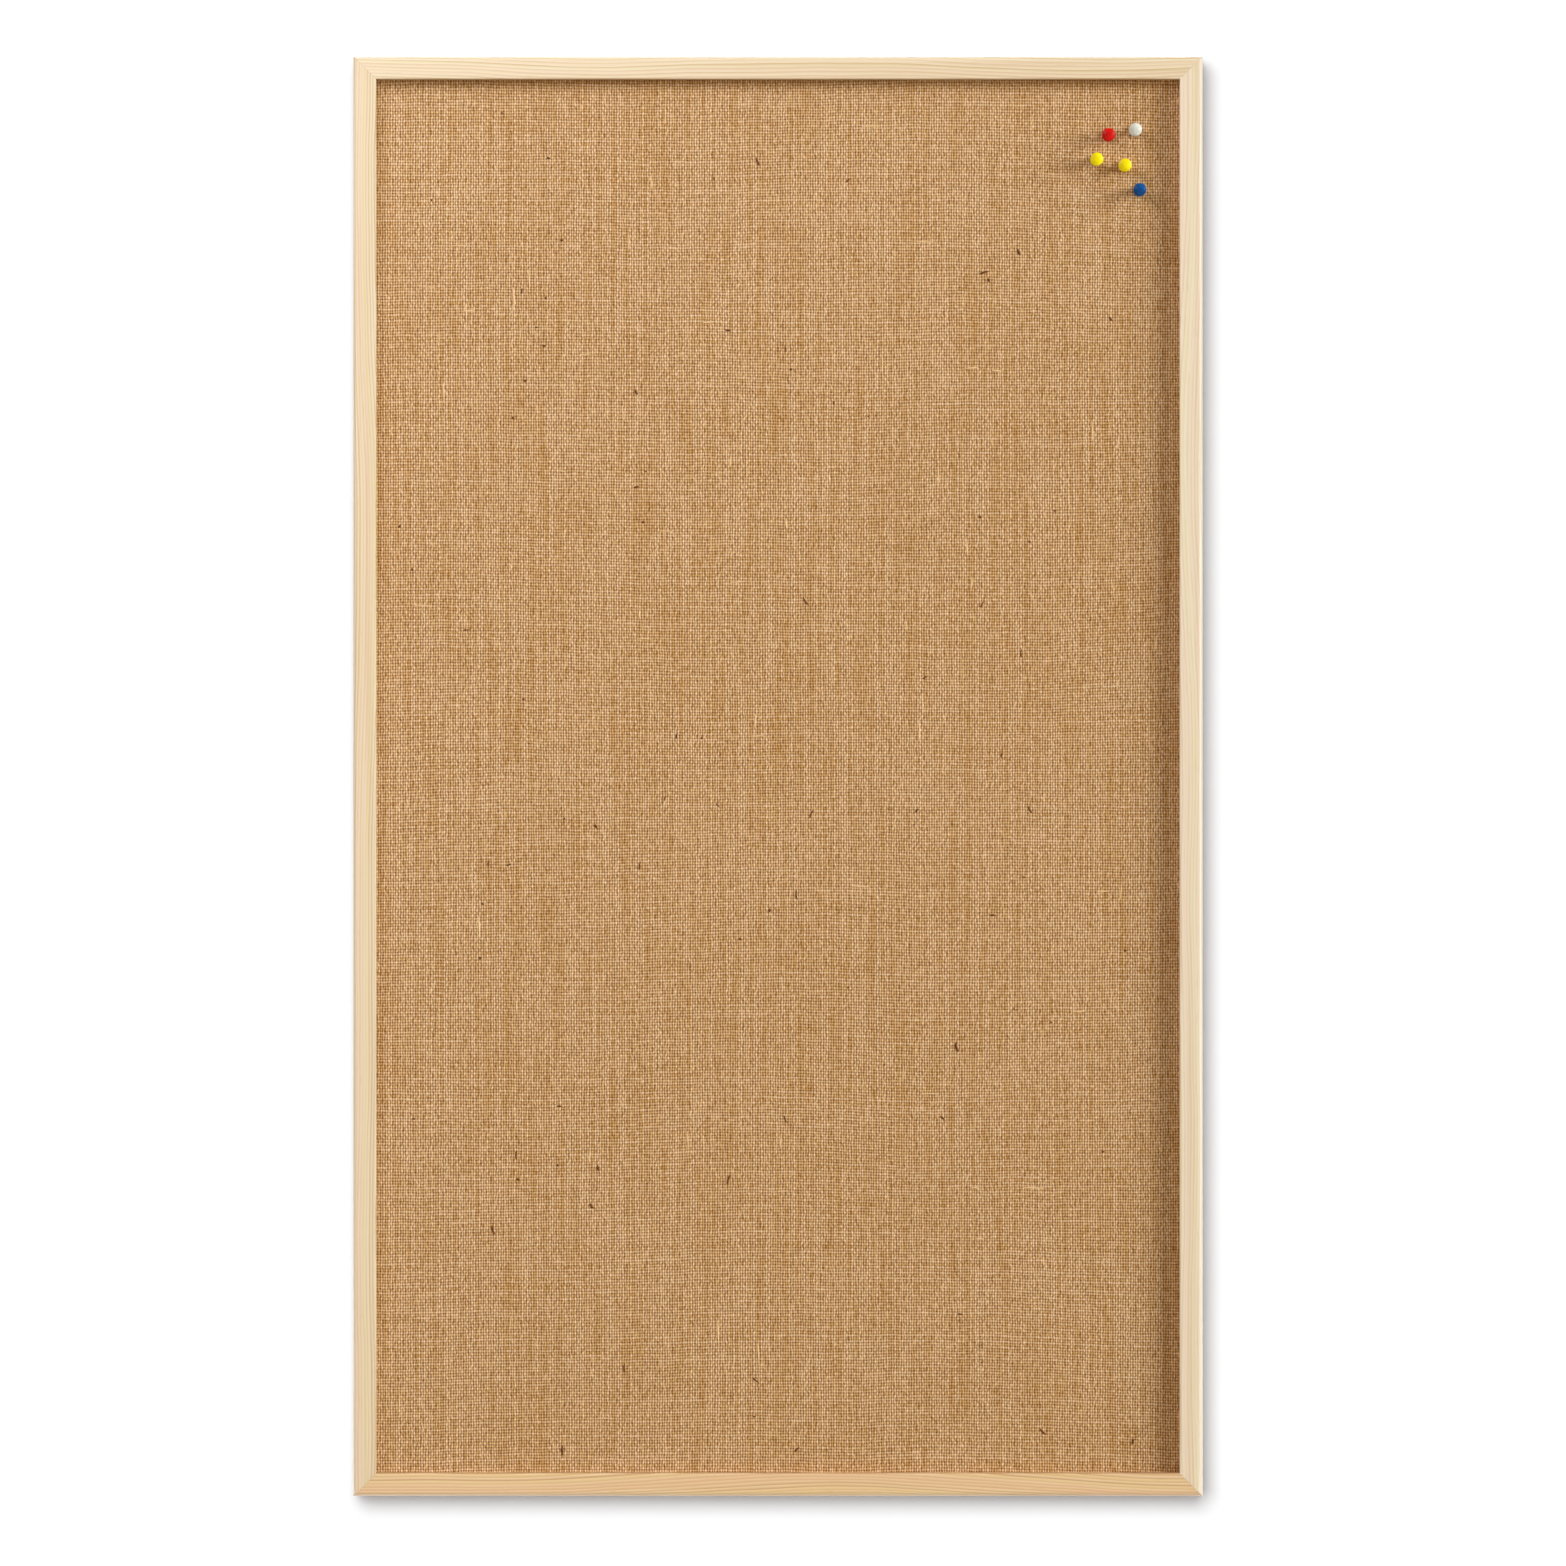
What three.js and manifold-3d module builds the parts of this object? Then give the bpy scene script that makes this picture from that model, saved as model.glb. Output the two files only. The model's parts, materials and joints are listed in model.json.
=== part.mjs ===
// A pin board for badges: a mitred pine frame, a burlap-covered softboard panel set in its rabbet,
// a hardboard back held by framing points, two ring hangers for the wall, and five push pins.
// Millimetres. X runs to the right as seen from the front, Z is up, and the front faces -Y.
// The origin is the middle of the top rail's back face, on the plane that lies towards the wall.
import * as THREE from "three";
import { mergeVertices } from "three/addons/utils/BufferGeometryUtils.js";
import Module from "manifold-3d";

// Board and pine moulding
const boardWidth = 590;
const boardHeight = 1000;
const mouldingWidth = 16; // face seen from the front
const lipThickness = 8; // wood in front of the panel, which is the depth of the recess
const rabbetWidth = 6; // how far the lip covers the edge of the panel
const outerRound = 3.5; // radius of the front outer edge
const sightRound = 1; // radius of the front edge beside the burlap
const backEase = 0.5; // bevel of the outer back edge
const mitreGap = 0.3; // glue line between two mitred ends

// Layers of the panel, named from front to back
const burlapThickness = 0.9;
const coreThickness = 9;
const backingThickness = 2.5;
const turnInWidth = 25; // burlap folded over the back of the core
const foldSlit = 0.6; // slit where two turn-ins meet at a corner
const panelClearance = 1; // panel edge to rabbet wall

// Fits
const seatGap = 0.3; // between pieces that rest on each other
const driveGap = 0.3; // round a piece that is driven into another
const mouldedGap = 0.1; // round a needle that its grip is moulded on

// V-nails, bent from strip and pressed in from the back, one above the other
const vNailLeg = 6;
const vNailStrip = 0.5;
const vNailHeight = 7;
const vNailLip = 0.5; // how far the end of each leg is curled out
const vNailLipLength = 1.2;
const vNailSink = 0.6; // below the back face
const vNailWall = 1.6; // wood left between the apex and the rabbet
const vNailStack = 2;

// Framing points, flat steel driven into the rabbet wall over the backing
const pointWidth = 6;
const pointThickness = 0.6;
const pointTip = 4;
const pointBite = 6; // in the wood
const pointReach = 8; // out over the backing
const pointSink = 1.6; // from the back plane of the frame
const pointsOnRail = 3;
const pointsOnStile = 5;

// Ring hangers on the backs of the stiles
const hangerDrop = 150; // hinge line below the top of the board
const strapThickness = 0.8;
const strapTail = 13.5; // from the hinge line to the end of the strap
const strapThroat = 4; // from the hinge line to where the folded layers meet
const ringWire = 0.9; // radius
const ringWidth = 8; // between wire centres
const ringHeight = 10; // from the hinge line to the wire's centre at the top
const ringCorner = 1.4;
const ringPlay = 0.3; // wire to strap
const screwDrop = 9.5; // below the hinge line
const screwShank = 1.1; // radius
const screwLength = 10; // under the head
const screwPoint = 3;
const screwHead = 2.4; // radius
const screwHeadHeight = 1.6;

// Push pins
const gripHeight = 12;
const headRadius = 4.6;
const headThickness = 2.4;
const headDome = 0.35;
const collarRadius = 4.2;
const collarThickness = 1.6;
const neckRadius = 2.2;
const gripEdge = 0.6; // radius of the rims
const needleRadius = 0.55;
const needleLength = 10; // below the grip
const needleSocket = 7; // inside the grip
const needleTip = 3;

// Where each pin stands: distances from the frame's sight edge to the needle
const pins = [
  { name: "red", colour: 0xcf1a10, fromSide: 49.5, fromTop: 38.7 },
  { name: "white", colour: 0xe9e8e2, fromSide: 30.9, fromTop: 35.2 },
  { name: "yellow_left", colour: 0xf2dd10, fromSide: 57.8, fromTop: 55.7 },
  { name: "yellow_right", colour: 0xf2dd10, fromSide: 38.1, fromTop: 59.9 },
  { name: "blue", colour: 0x0c4c92, fromSide: 27.8, fromTop: 76.9 },
];

// Facets of round forms
const arcSteps = 3;
const pinSides = 20;
const needleSides = 8;
const screwSides = 16;
const wireSides = 8;
const wireSteps = 44;

// Depth of each layer, worked out from the back plane at y = 0 towards the front
const pointFront = -pointSink - pointThickness;
const backingBack = pointFront - seatGap;
const backingFront = backingBack - backingThickness;
const turnInBack = backingFront - seatGap;
const turnInFront = turnInBack - burlapThickness;
const coreBack = turnInFront - seatGap;
const coreFront = coreBack - coreThickness;
const burlapBack = coreFront - seatGap;
const burlapFront = burlapBack - burlapThickness;
const lipBack = burlapFront - seatGap;
const mouldingDepth = lipThickness - lipBack;

// Widths that follow from the moulding
const backWidth = mouldingWidth - rabbetWidth; // wood beside the panel
const panelInset = backWidth + panelClearance;
const panelWidth = boardWidth - 2 * panelInset;
const panelHeight = boardHeight - 2 * panelInset;
const strapWidth = ringWidth - 2 * ringCorner; // the straight length of the ring's bar
const quarterTurn = Math.PI / 2;

const pine = { color: 0xebd2ad, roughness: 0.55 };
const burlap = { color: 0xc09669, roughness: 0.95 };
const softboard = { color: 0xa98a63, roughness: 0.95 };
const hardboard = { color: 0x7d5a3b, roughness: 0.8 };
const steel = { color: 0xb4b6b8, roughness: 0.35, metalness: 1 };
const zinc = { color: 0xc9c7bd, roughness: 0.3, metalness: 1 };

const wasm = await Module();
wasm.setup();

// A closed geometry as a solid for joining and cutting.
function solidOf(geometry) {
  const bare = geometry.clone();
  bare.deleteAttribute("normal");
  bare.deleteAttribute("uv");
  const merged = mergeVertices(bare, 1e-4);
  return new wasm.Manifold(
    new wasm.Mesh({
      numProp: 3,
      vertProperties: new Float32Array(merged.attributes.position.array),
      triVerts: new Uint32Array(merged.index.array),
    }),
  );
}

// A cut solid as a geometry again.
function geometryOf(solid) {
  const { vertProperties, triVerts } = solid.getMesh();
  const geometry = new THREE.BufferGeometry();
  geometry.setAttribute("position", new THREE.BufferAttribute(vertProperties, 3));
  geometry.setIndex(new THREE.BufferAttribute(triVerts, 1));
  geometry.computeVertexNormals();
  return geometry;
}

function piece(name, geometry, finish, parent) {
  const mesh = new THREE.Mesh(geometry, new THREE.MeshStandardMaterial(finish));
  mesh.name = name;
  parent.add(mesh);
  return mesh;
}

// Cuts into a mesh the room that each piece driven into it needs, wherever the two stand in the scene.
function driveInto(target, drivenPieces) {
  const toTarget = target.matrixWorld.clone().invert();
  let body = solidOf(target.geometry);
  for (const driven of drivenPieces) {
    const room = driven.userData.room.clone();
    room.applyMatrix4(toTarget.clone().multiply(driven.matrixWorld));
    body = body.subtract(solidOf(room));
  }
  target.geometry = geometryOf(body);
}

// A flat sheet of the panel between two depths.
function sheet(width, height, front, back) {
  return new THREE.BoxGeometry(width, back - front, height).translate(0, (front + back) / 2, 0);
}

// An outline drawn across X and Z, as thick as the two depths say.
function plate(outline, front, back) {
  const geometry = new THREE.ExtrudeGeometry(outline, {
    depth: back - front,
    bevelEnabled: false,
    curveSegments: arcSteps,
  });
  return geometry.rotateX(quarterTurn).translate(0, back, 0);
}

// Moulding section: across is counted from the outer edge of the frame, up from its back face.
function mouldingSection() {
  const section = new THREE.Shape();
  section.moveTo(backEase, 0);
  section.lineTo(backWidth, 0);
  section.lineTo(backWidth, -lipBack);
  section.lineTo(mouldingWidth, -lipBack);
  section.lineTo(mouldingWidth, mouldingDepth - sightRound);
  section.absarc(mouldingWidth - sightRound, mouldingDepth - sightRound, sightRound, 0, quarterTurn);
  section.lineTo(outerRound, mouldingDepth);
  section.absarc(outerRound, mouldingDepth - outerRound, outerRound, quarterTurn, Math.PI);
  section.lineTo(0, backEase);
  return section;
}

// A length of moulding along X with its outer edge on z = 0, both ends cut to a mitre.
function mitredMoulding(length) {
  const geometry = new THREE.ExtrudeGeometry(mouldingSection(), {
    depth: length,
    bevelEnabled: false,
    curveSegments: arcSteps,
  });
  const points = geometry.attributes.position;
  for (let i = 0; i < points.count; i++) {
    const setBack = points.getX(i) + mitreGap / Math.SQRT2;
    points.setZ(i, points.getZ(i) < length / 2 ? setBack : length - setBack);
  }
  const across = new THREE.Vector3(0, 0, -1);
  const up = new THREE.Vector3(0, -1, 0);
  const along = new THREE.Vector3(-1, 0, 0);
  const lay = new THREE.Matrix4().makeBasis(across, up, along);
  lay.setPosition(length / 2, 0, 0);
  return geometry.applyMatrix4(lay);
}

// V-nail outline round a corner of the frame, whose outer corner is at 0, 0. Its apex points at the
// rabbet and each leg crosses the grain of its own rail. It is grown to make the slot.
function vNailOutline(grown) {
  const apex = -(backWidth - vNailWall) - grown;
  const inner = apex + vNailStrip + 2 * grown;
  const lip = apex - vNailLip;
  const lipInner = inner - vNailLip;
  const end = -(backWidth - vNailWall) + vNailLeg + grown;
  const bend = end - vNailLipLength;
  const outline = new THREE.Shape();
  outline.moveTo(apex, apex);
  outline.lineTo(bend, apex);
  outline.lineTo(end, lip);
  outline.lineTo(end, lipInner);
  outline.lineTo(bend, inner);
  outline.lineTo(inner, inner);
  outline.lineTo(inner, bend);
  outline.lineTo(lipInner, end);
  outline.lineTo(lip, end);
  outline.lineTo(apex, bend);
  return outline;
}

function vNail(name, level, corner) {
  const back = -vNailSink - level * (vNailHeight + seatGap);
  const mesh = piece(name, plate(vNailOutline(0), back - vNailHeight, back), steel, corner);
  mesh.userData.room = plate(vNailOutline(driveGap), back - vNailHeight - driveGap, 1);
  return mesh;
}

// Framing point outline: its tip points out along +Z into the wood. It is grown to make the slot.
function pointOutline(grown) {
  const half = pointWidth / 2 + grown;
  const tail = -backWidth - pointReach;
  const tip = -backWidth + pointBite + grown;
  const shoulder = tip - pointTip;
  const outline = new THREE.Shape();
  outline.moveTo(-half, tail);
  outline.lineTo(half, tail);
  outline.lineTo(half, shoulder);
  outline.lineTo(0, tip);
  outline.lineTo(-half, shoulder);
  return outline;
}

function framingPoint(name, along, side) {
  const mesh = piece(name, plate(pointOutline(0), pointFront, -pointSink), steel, side);
  mesh.userData.room = plate(pointOutline(driveGap), pointFront - driveGap, -pointSink + driveGap);
  mesh.position.x = along;
  return mesh;
}

// One side of the frame with its framing points. Each side is a turn of the top rail round the board.
function frameSide(board, name, length, outward, turn, pointCount) {
  const side = new THREE.Group();
  side.rotation.y = turn * quarterTurn;
  board.add(side);
  const seat = new THREE.Group();
  seat.position.z = outward;
  side.add(seat);
  const rail = piece(name, mitredMoulding(length), pine, seat);
  const points = [];
  for (let i = 0; i < pointCount; i++) {
    const along = ((i + 0.5) / pointCount - 0.5) * length;
    points.push(framingPoint(`point_${name}_${i + 1}`, along, seat));
  }
  return { rail, points };
}

function frameCorner(board, name, right, up, turn) {
  const corner = new THREE.Group();
  corner.position.set((right * boardWidth) / 2, 0, (up * boardHeight) / 2);
  corner.rotation.y = turn * quarterTurn;
  board.add(corner);
  const nails = [];
  for (let level = 0; level < vNailStack; level++) {
    nails.push(vNail(`v_nail_${name}_${level + 1}`, level, corner));
  }
  return nails;
}

// Burlap stretched over the core: a face, four edges and four turn-ins that meet in mitred folds.
function burlapCover() {
  const wrap = burlapThickness + seatGap;
  const cavityWidth = panelWidth - 2 * burlapThickness;
  const cavityHeight = panelHeight - 2 * burlapThickness;
  const windowWidth = panelWidth - 2 * turnInWidth;
  const windowHeight = panelHeight - 2 * turnInWidth;
  let cover = solidOf(sheet(panelWidth, panelHeight, burlapFront, turnInBack));
  cover = cover.subtract(solidOf(sheet(cavityWidth, cavityHeight, burlapBack, turnInFront)));
  cover = cover.subtract(solidOf(sheet(windowWidth, windowHeight, coreBack, turnInBack + wrap)));
  const foldLength = (turnInWidth - burlapThickness) * Math.SQRT2;
  for (const right of [-1, 1]) {
    for (const up of [-1, 1]) {
      const slit = sheet(foldLength, foldSlit, coreBack, turnInBack + wrap);
      slit.rotateY((-right * up * Math.PI) / 4);
      const middle = (turnInWidth + burlapThickness) / 2;
      slit.translate(right * (panelWidth / 2 - middle), 0, up * (panelHeight / 2 - middle));
      cover = cover.subtract(solidOf(slit));
    }
  }
  return geometryOf(cover);
}

// Strap folded round the ring's bar. The hinge line is at 0, 0 of the section, the wood at its left.
function hangerStrap() {
  const inner = ringWire + ringPlay;
  const outer = inner + strapThickness;
  const lap = -outer + 2 * strapThickness;
  const section = new THREE.Shape();
  section.moveTo(-outer, -strapTail);
  section.lineTo(lap, -strapTail);
  section.lineTo(lap, -strapThroat);
  section.lineTo(outer, 0);
  section.absarc(0, 0, outer, 0, Math.PI);
  const eye = new THREE.Path();
  eye.moveTo(-inner, 0);
  eye.lineTo((lap - outer) / 2, -strapThroat + strapThickness);
  eye.lineTo(inner, 0);
  eye.absarc(0, 0, inner, 0, Math.PI);
  section.holes.push(eye);
  const geometry = new THREE.ExtrudeGeometry(section, {
    depth: strapWidth,
    bevelEnabled: false,
    curveSegments: 2 * arcSteps,
  });
  const away = new THREE.Vector3(0, 1, 0);
  const up = new THREE.Vector3(0, 0, 1);
  const across = new THREE.Vector3(1, 0, 0);
  const lay = new THREE.Matrix4().makeBasis(away, up, across);
  lay.setPosition(-strapWidth / 2, 0, 0);
  return geometry.applyMatrix4(lay);
}

// D-shaped wire ring standing up from its straight bar, which lies on the hinge line.
function hangerRing() {
  const half = ringWidth / 2;
  const loop = new THREE.Path();
  loop.moveTo(0, 0);
  loop.lineTo(half - ringCorner, 0);
  loop.absarc(half - ringCorner, ringCorner, ringCorner, -quarterTurn, 0);
  loop.lineTo(half, ringHeight - half);
  loop.absarc(0, ringHeight - half, half, 0, Math.PI);
  loop.lineTo(-half, ringCorner);
  loop.absarc(-half + ringCorner, ringCorner, ringCorner, Math.PI, 1.5 * Math.PI);
  loop.lineTo(0, 0);
  const line = loop.getSpacedPoints(wireSteps).slice(0, wireSteps);
  const wire = new THREE.CatmullRomCurve3(
    line.map((p) => new THREE.Vector3(p.x, 0, p.y)),
    true,
  );
  return new THREE.TubeGeometry(wire, wireSteps, ringWire, wireSides, true);
}

// A turned form whose profile is given as radius and height, standing along +Y.
function turned(profile, sides, steps = arcSteps) {
  return new THREE.LatheGeometry(profile.getPoints(steps), sides);
}

// Wood screw: its head sits on y = 0 and its point is below.
function screwProfile(grown) {
  const profile = new THREE.Path();
  profile.moveTo(0, -screwLength - grown);
  profile.lineTo(screwShank + grown, -screwLength + screwPoint);
  profile.lineTo(screwShank + grown, 0);
  return profile;
}

function hangerScrew() {
  const profile = screwProfile(0);
  profile.lineTo(screwHead, 0);
  profile.lineTo(screwHead, screwHeadHeight / 3);
  profile.quadraticCurveTo(screwHead, screwHeadHeight, screwHead / 2, screwHeadHeight);
  profile.lineTo(0, screwHeadHeight);
  return turned(profile, screwSides);
}

function screwRoom() {
  const profile = screwProfile(driveGap);
  profile.lineTo(0, 0);
  return turned(profile, screwSides);
}

function ringHanger(board, name, right) {
  const hanger = new THREE.Group();
  const outer = ringWire + ringPlay + strapThickness;
  hanger.position.set(
    right * (boardWidth / 2 - backWidth / 2),
    seatGap + outer,
    boardHeight / 2 - hangerDrop,
  );
  board.add(hanger);
  const strap = piece(`hanger_strap_${name}`, hangerStrap(), zinc, hanger);
  const ring = piece(`hanger_ring_${name}`, hangerRing(), zinc, hanger);
  ring.rotation.x = Math.asin((outer - ringWire) / ringHeight); // leans back on the wood
  const screw = piece(`hanger_screw_${name}`, hangerScrew(), zinc, hanger);
  screw.position.set(0, -outer + 2 * strapThickness + seatGap, -screwDrop);
  screw.userData.room = screwRoom();
  return { strap, screw };
}

// Moulded grip on its collar at y = 0, with the socket that holds the needle.
function pinGrip() {
  const socket = needleRadius + mouldedGap;
  const headBase = gripHeight - headThickness;
  const neckTop = headBase - (headRadius - neckRadius) / 2;
  const neckBase = collarThickness + (collarRadius - neckRadius) / 2;
  const profile = new THREE.Path();
  profile.moveTo(0, needleSocket + mouldedGap);
  profile.lineTo(socket, needleSocket + mouldedGap);
  profile.lineTo(socket, 0);
  profile.lineTo(collarRadius - gripEdge, 0);
  profile.absarc(collarRadius - gripEdge, gripEdge, gripEdge, -quarterTurn, 0);
  profile.lineTo(collarRadius, collarThickness - gripEdge);
  profile.quadraticCurveTo(collarRadius, collarThickness, collarRadius - gripEdge, collarThickness);
  profile.quadraticCurveTo(neckRadius, collarThickness, neckRadius, neckBase);
  profile.quadraticCurveTo(neckRadius, neckTop, (neckRadius + headRadius) / 2, headBase);
  profile.lineTo(headRadius - gripEdge / 2, headBase);
  profile.lineTo(headRadius, headBase + gripEdge / 2);
  profile.lineTo(headRadius, gripHeight - gripEdge - headDome);
  profile.quadraticCurveTo(headRadius, gripHeight - headDome, headRadius - gripEdge, gripHeight - headDome);
  profile.quadraticCurveTo(headRadius / 2, gripHeight, 0, gripHeight);
  return turned(profile, pinSides, 2);
}

// Steel needle, pointed below and blunt inside the grip. It is grown to make the hole that it stands in.
function pinNeedle(grown) {
  const radius = needleRadius + grown;
  const profile = new THREE.Path();
  profile.moveTo(0, -needleLength - grown);
  profile.lineTo(radius, -needleLength + needleTip);
  profile.lineTo(radius, needleSocket);
  profile.lineTo(0, needleSocket);
  return turned(profile, needleSides);
}

function pushPin(board, { name, colour, fromSide, fromTop }) {
  const pin = new THREE.Group();
  pin.position.set(
    boardWidth / 2 - mouldingWidth - fromSide,
    burlapFront - seatGap,
    boardHeight / 2 - mouldingWidth - fromTop,
  );
  pin.rotation.x = Math.PI;
  board.add(pin);
  piece(`${name}_pin_grip`, pinGrip(), { color: colour, roughness: 0.3 }, pin);
  const needle = piece(`${name}_pin_needle`, pinNeedle(0), steel, pin);
  needle.userData.room = pinNeedle(driveGap);
  return needle;
}

// The board is drawn round its own centre and hung so that the top rail's back is at the origin.
const board = new THREE.Group();
board.position.z = backWidth / 2 - boardHeight / 2;
const pinBadgeBoard = new THREE.Group();
pinBadgeBoard.add(board);

const top = frameSide(board, "top_rail", boardWidth, boardHeight / 2, 0, pointsOnRail);
const right = frameSide(board, "right_stile", boardHeight, boardWidth / 2, 1, pointsOnStile);
const bottom = frameSide(board, "bottom_rail", boardWidth, boardHeight / 2, 2, pointsOnRail);
const left = frameSide(board, "left_stile", boardHeight, boardWidth / 2, 3, pointsOnStile);

const topRight = frameCorner(board, "top_right", 1, 1, 0);
const bottomRight = frameCorner(board, "bottom_right", 1, -1, 1);
const bottomLeft = frameCorner(board, "bottom_left", -1, -1, 2);
const topLeft = frameCorner(board, "top_left", -1, 1, 3);

const cover = piece("burlap_cover", burlapCover(), burlap, board);
const coreInset = 2 * (burlapThickness + seatGap);
const core = piece(
  "soft_core",
  sheet(panelWidth - coreInset, panelHeight - coreInset, coreFront, coreBack),
  softboard,
  board,
);
const backing = piece(
  "backing_board",
  sheet(panelWidth, panelHeight, backingFront, backingBack),
  hardboard,
  board,
);

const leftHanger = ringHanger(board, "left", -1);
const rightHanger = ringHanger(board, "right", 1);
const needles = pins.map((pin) => pushPin(board, pin));

// Everything stands in its place, so the driven pieces can cut their room.
pinBadgeBoard.updateMatrixWorld(true);
driveInto(top.rail, [...top.points, ...topLeft, ...topRight]);
driveInto(bottom.rail, [...bottom.points, ...bottomLeft, ...bottomRight]);
driveInto(right.rail, [...right.points, ...topRight, ...bottomRight, rightHanger.screw]);
driveInto(left.rail, [...left.points, ...topLeft, ...bottomLeft, leftHanger.screw]);
driveInto(leftHanger.strap, [leftHanger.screw]);
driveInto(rightHanger.strap, [rightHanger.screw]);
for (const layer of [cover, core, backing]) {
  driveInto(layer, needles);
}

export default pinBadgeBoard;
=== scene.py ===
import json
import math
import random
import bmesh
import bpy
from mathutils import Matrix, Vector, noise


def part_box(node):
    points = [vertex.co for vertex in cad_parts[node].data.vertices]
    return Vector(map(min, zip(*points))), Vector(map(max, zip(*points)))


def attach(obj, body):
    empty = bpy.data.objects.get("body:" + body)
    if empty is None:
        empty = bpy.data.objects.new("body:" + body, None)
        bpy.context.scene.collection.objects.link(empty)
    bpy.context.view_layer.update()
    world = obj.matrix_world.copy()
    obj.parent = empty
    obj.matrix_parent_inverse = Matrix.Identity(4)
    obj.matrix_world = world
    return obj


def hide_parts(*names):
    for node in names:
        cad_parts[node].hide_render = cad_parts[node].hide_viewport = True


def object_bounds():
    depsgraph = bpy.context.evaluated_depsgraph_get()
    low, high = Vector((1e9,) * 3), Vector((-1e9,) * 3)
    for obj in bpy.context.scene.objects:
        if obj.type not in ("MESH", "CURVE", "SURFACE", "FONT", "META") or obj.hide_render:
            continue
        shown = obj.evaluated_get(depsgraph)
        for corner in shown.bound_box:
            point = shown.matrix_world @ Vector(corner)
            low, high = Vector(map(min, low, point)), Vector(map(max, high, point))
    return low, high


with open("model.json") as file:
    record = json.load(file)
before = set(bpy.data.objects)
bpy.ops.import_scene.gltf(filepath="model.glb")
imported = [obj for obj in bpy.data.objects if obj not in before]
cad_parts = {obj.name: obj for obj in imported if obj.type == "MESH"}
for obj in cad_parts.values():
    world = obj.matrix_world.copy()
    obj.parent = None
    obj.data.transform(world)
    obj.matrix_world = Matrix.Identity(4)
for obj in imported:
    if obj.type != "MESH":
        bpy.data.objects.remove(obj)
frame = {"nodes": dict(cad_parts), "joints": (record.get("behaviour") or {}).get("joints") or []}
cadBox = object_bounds()
scene = bpy.context.scene
scene.view_settings.view_transform = "Standard"
mm = 0.001
print("frame loaded:", len(frame["nodes"]), "nodes")


# Camera, straight in front of the board
cameraSet = {
    "place": (0.0035, -5.025, -0.4997),
    "lens": 165.58,
    "sensor": 36,
}
cameraData = bpy.data.cameras.new("camera")
cameraData.lens = cameraSet["lens"]
cameraData.sensor_width = cameraSet["sensor"]
camera = bpy.data.objects.new("camera", cameraData)
camera.location = cameraSet["place"]
camera.rotation_euler = (math.pi / 2, 0, 0)
scene.collection.objects.link(camera)
scene.camera = camera


# Shader sockets as numbers
class Value:
    def __init__(self, look, out):
        self.look = look
        self.out = out

    def maths(self, operation, *terms):
        return self.look.node("ShaderNodeMath", {"operation": operation}, dict(enumerate(terms)))

    def __add__(self, other):
        return self.maths("ADD", self, other)

    def __radd__(self, other):
        return self.maths("ADD", other, self)

    def __sub__(self, other):
        return self.maths("SUBTRACT", self, other)

    def __rsub__(self, other):
        return self.maths("SUBTRACT", other, self)

    def __mul__(self, other):
        return self.maths("MULTIPLY", self, other)

    def __rmul__(self, other):
        return self.maths("MULTIPLY", other, self)

    def __truediv__(self, other):
        return self.maths("DIVIDE", self, other)

    def __pow__(self, other):
        return self.maths("POWER", self, other)

    def __mod__(self, other):
        return self.maths("FLOORED_MODULO", self, other)

    def floor(self):
        return self.maths("FLOOR", self)

    def fraction(self):
        return self.maths("FRACT", self)

    def size(self):
        return self.maths("ABSOLUTE", self)

    def root(self):
        return self.maths("SQRT", self)

    def cosine(self):
        return self.maths("COSINE", self)

    def larger(self, other):
        return self.maths("MAXIMUM", self, other)

    def over(self, other):
        return self.maths("GREATER_THAN", self, other)


# A node tree, written one node at a time
class Look:
    def __init__(self, tree):
        self.tree = tree
        tree.nodes.clear()

    def node(self, kind, settings, sockets, out=0):
        made = self.tree.nodes.new(kind)
        for name, setting in settings.items():
            if name == "stops":
                setStops(made.color_ramp, setting)
            else:
                setattr(made, name, setting)
        for name, given in sockets.items():
            if isinstance(given, Value):
                self.tree.links.new(given.out, made.inputs[name])
            else:
                made.inputs[name].default_value = given
        if isinstance(out, tuple):
            return [Value(self, made.outputs[one]) for one in out]
        return Value(self, made.outputs[out])

    def place(self, out="Object"):
        return self.node("ShaderNodeTexCoord", {}, {}, out)

    def split(self, vector):
        return self.node("ShaderNodeSeparateXYZ", {}, {0: vector}, (0, 1, 2))

    def vector(self, x, y, z):
        return self.node("ShaderNodeCombineXYZ", {}, {0: x, 1: y, 2: z})

    def noise(self, vector, scale, detail, out="Fac"):
        return self.node("ShaderNodeTexNoise", {}, {"Vector": vector, "Scale": scale, "Detail": detail}, out)

    def random(self, number):
        return self.node("ShaderNodeTexWhiteNoise", {"noise_dimensions": "1D"}, {"W": number}, "Value")

    def smooth(self, value, low, high):
        return self.node("ShaderNodeMapRange", {"interpolation_type": "SMOOTHSTEP"}, {0: value, 1: low, 2: high})

    def mix(self, factor, first, second, blend="MIX"):
        settings = {"data_type": "RGBA", "blend_type": blend}
        return self.node("ShaderNodeMix", settings, {0: factor, 6: first, 7: second}, 2)

    def ramp(self, factor, stops):
        return self.node("ShaderNodeValToRGB", {"stops": stops}, {0: factor}, "Color")

    def bump(self, height, strength, distance):
        return self.node("ShaderNodeBump", {}, {"Height": height, "Strength": strength, "Distance": distance})

    def surface(self, sockets):
        self.output(self.node("ShaderNodeBsdfPrincipled", {}, sockets))

    def output(self, shader, kind="ShaderNodeOutputMaterial"):
        made = self.tree.nodes.new(kind)
        self.tree.links.new(shader.out, made.inputs["Surface"])


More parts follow.
